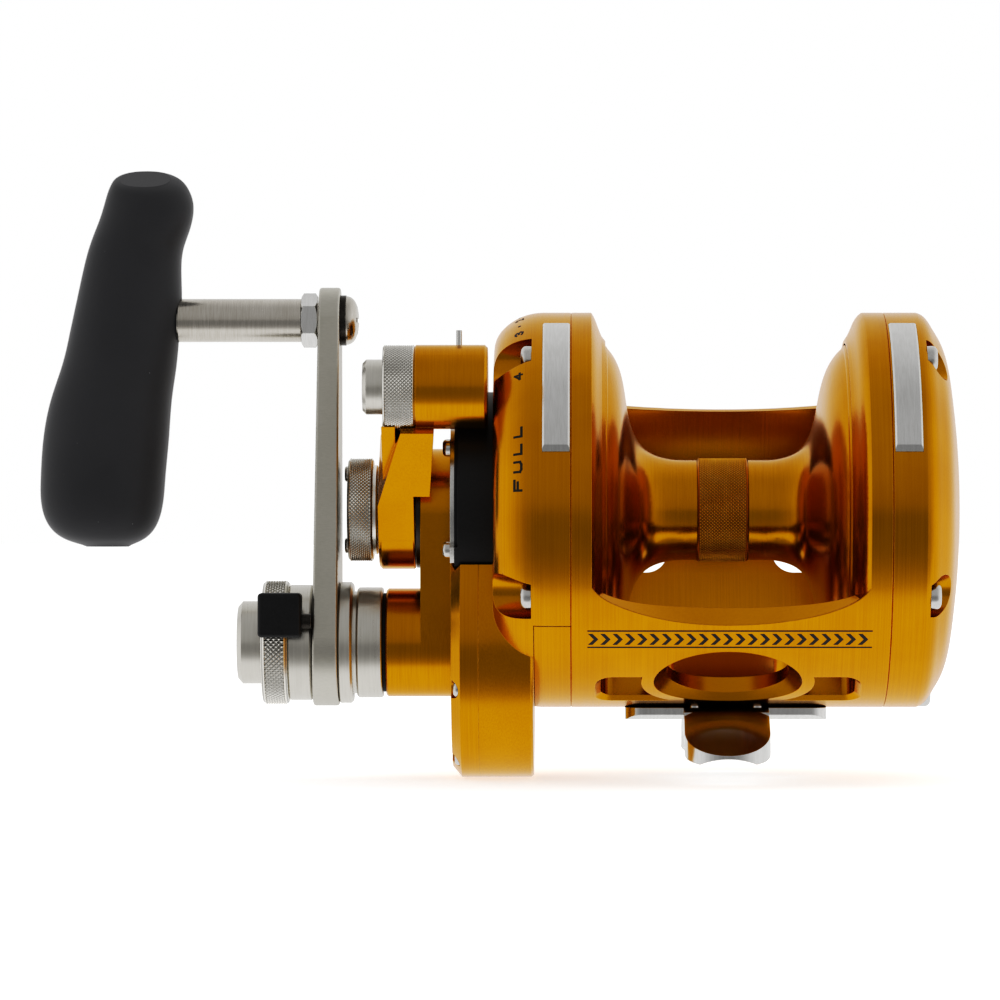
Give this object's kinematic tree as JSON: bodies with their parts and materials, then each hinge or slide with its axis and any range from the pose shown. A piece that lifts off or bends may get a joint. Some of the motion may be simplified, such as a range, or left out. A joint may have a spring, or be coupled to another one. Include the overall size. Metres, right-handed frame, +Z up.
{
  "type": "trolling reel",
  "caption": "Two-speed lever-drag trolling reel with an open one-piece frame, a wide spool, a T-grip crank, a preset knob and a rod clamp foot.",
  "frame": {"origin": "midway between the two rod-clamp stud holes, on the underside of the reel foot's flange", "axes": "+X along the spool axis towards the palm side plate, -Y to the rod tip, +Z up from the rod"},
  "size_m": [0.2047, 0.088, 0.1356],
  "materials": {
    "gold_anodised": "bright gold anodised, fine turning lines",
    "silver_anodised": "satin silver anodised",
    "polished_steel": "polished stainless steel",
    "steel_screws": "passivated stainless steel",
    "black_anodised": "satin black anodised",
    "dark_steel": "blackened steel",
    "grip_rubber": "soft-touch matte black",
    "seal_rubber": "matte black",
    "gear_steel": "ground, lightly oiled",
    "bearing_steel": "polished rings and balls",
    "drag_plate_steel": "lapped",
    "carbon_drag": "woven carbon fibre friction ring"
  },
  "bodies": {
    "root": {"frame": "gold_anodised", "gear_side_plate": "gold_anodised", "lower_rim_segment": "gold_anodised", "gear_cover": "gold_anodised", "palm_side_plate": "gold_anodised", "rim_inlays": "polished_steel", "harness_eyes": "polished_steel", "reel_foot": "polished_steel", "gear_plate_screws": "steel_screws", "palm_plate_screws": "steel_screws", "foot_screws": "steel_screws", "gear_cover_screws": "steel_screws", "drag_quadrant": "black_anodised", "quadrant_plate": "steel_screws", "quadrant_screws": "steel_screws", "drive_bearing": "bearing_steel", "crank_bearings": "bearing_steel", "crank_seal": "seal_rubber", "pawl_pins": "steel_screws", "lever_washer": "dark_steel"},
    "crank": {"crank_shaft": "gear_steel", "ratchet_wheel": "gear_steel", "high_gear": "gear_steel", "crank_bushing": "silver_anodised", "crank_inner_collar": "silver_anodised", "crank_arm": "silver_anodised", "crank_outer_collar": "silver_anodised", "crank_ring": "silver_anodised", "grip_spindle": "polished_steel", "grip_nut": "polished_steel", "grip_end_washer": "dark_steel", "grip_end_screw": "polished_steel", "shift_spring": "gear_steel", "latch_guide_rod": "dark_steel"},
    "grip": {"grip": "grip_rubber"},
    "low_gear": {"low_gear": "gear_steel"},
    "drive": {"drive_sleeve": "gear_steel", "drag_plate": "drag_plate_steel", "high_pinion": "gear_steel", "low_pinion": "gear_steel"},
    "spindle": {"spool_spindle": "gear_steel"},
    "spool": {"spool": "gold_anodised", "arbor_band": "gold_anodised", "spool_bearings": "bearing_steel", "drag_washer": "carbon_drag", "click_wheel": "gear_steel"},
    "preset": {"preset_knob": "silver_anodised", "preset_knob_screws": "steel_screws"},
    "lever": {"drag_lever": "gold_anodised", "lever_knob_ring": "silver_anodised", "lever_knob_pin": "steel_screws"},
    "lever_button": {"lever_push_button": "silver_anodised"},
    "shift": {"shift_button": "silver_anodised", "shift_rod": "gear_steel", "shift_key": "gear_steel"},
    "latch": {"shift_latch": "black_anodised"},
    "front_pawl": {"front_pawl": "gear_steel"},
    "rear_pawl": {"rear_pawl": "gear_steel"},
    "click": {"click_slider": "black_anodised", "click_tongue": "gear_steel"}
  },
  "joints": [
    {"name": "crank_turn", "type": "hinge", "parent": "root", "child": "crank", "pos_m": [0, 0, 0.0169], "axis": [1, 0, 0], "continuous": true},
    {"name": "grip_spin", "type": "hinge", "parent": "crank", "child": "grip", "pos_m": [-0.12, 0, 0.0888], "axis": [1, 0, 0], "continuous": true},
    {"name": "low_gear_turn", "type": "hinge", "parent": "root", "child": "low_gear", "pos_m": [-0.047, 0, 0.0169], "axis": [1, 0, 0], "continuous": true},
    {"name": "drive_turn", "type": "hinge", "parent": "root", "child": "drive", "pos_m": [-0.045, 0, 0.0465], "axis": [1, 0, 0], "continuous": true},
    {"name": "spindle_shift", "type": "slide", "parent": "root", "child": "spindle", "axis": [1, 0, 0], "range_m": [-0.00012566, 0.00026529]},
    {"name": "spool_turn", "type": "hinge", "parent": "spindle", "child": "spool", "pos_m": [0, 0, 0.0465], "axis": [1, 0, 0], "continuous": true},
    {"name": "preset_turn", "type": "hinge", "parent": "spindle", "child": "preset", "pos_m": [-0.08, 0, 0.0465], "axis": [1, 0, 0], "range_deg": [-150, 150]},
    {"name": "drag_lever_swing", "type": "hinge", "parent": "root", "child": "lever", "pos_m": [-0.073, 0, 0.0465], "axis": [1, 0, 0], "range_deg": [-95, 45]},
    {"name": "lever_button_press", "type": "slide", "parent": "lever", "child": "lever_button", "axis": [1, 0, 0], "range_m": [0, 0.0025], "stiffness_N_per_m": 300},
    {"name": "shift_press", "type": "slide", "parent": "crank", "child": "shift", "axis": [1, 0, 0], "range_m": [0, 0.0039], "stiffness_N_per_m": 500, "deforming": ["shift_spring"]},
    {"name": "latch_slide", "type": "slide", "parent": "crank", "child": "latch", "axis": [1, 0, 0], "range_m": [0, 0.002]},
    {"name": "front_pawl_lift", "type": "hinge", "parent": "root", "child": "front_pawl", "pos_m": [-0.057, -0.0178, 0.0084], "axis": [1, 0, 0], "range_deg": [0, 8], "stiffness_Nm_per_rad": 0.01},
    {"name": "rear_pawl_lift", "type": "hinge", "parent": "root", "child": "rear_pawl", "pos_m": [-0.057, 0.0178, 0.0084], "axis": [-1, 0, 0], "range_deg": [0, 8], "stiffness_Nm_per_rad": 0.01},
    {"name": "click_slide", "type": "slide", "parent": "root", "child": "click", "axis": [0, -1, 0], "range_m": [0, 0.0042]}
  ],
  "couplings": [
    {"joint": "drive_turn", "follows": "crank_turn", "ratio": -3.625},
    {"joint": "spool_turn", "follows": "crank_turn", "ratio": -3.625},
    {"joint": "low_gear_turn", "follows": "crank_turn", "ratio": 2.2065},
    {"joint": "drag_lever_swing", "follows": "spindle_shift", "rad_per_m": -6250}
  ]
}
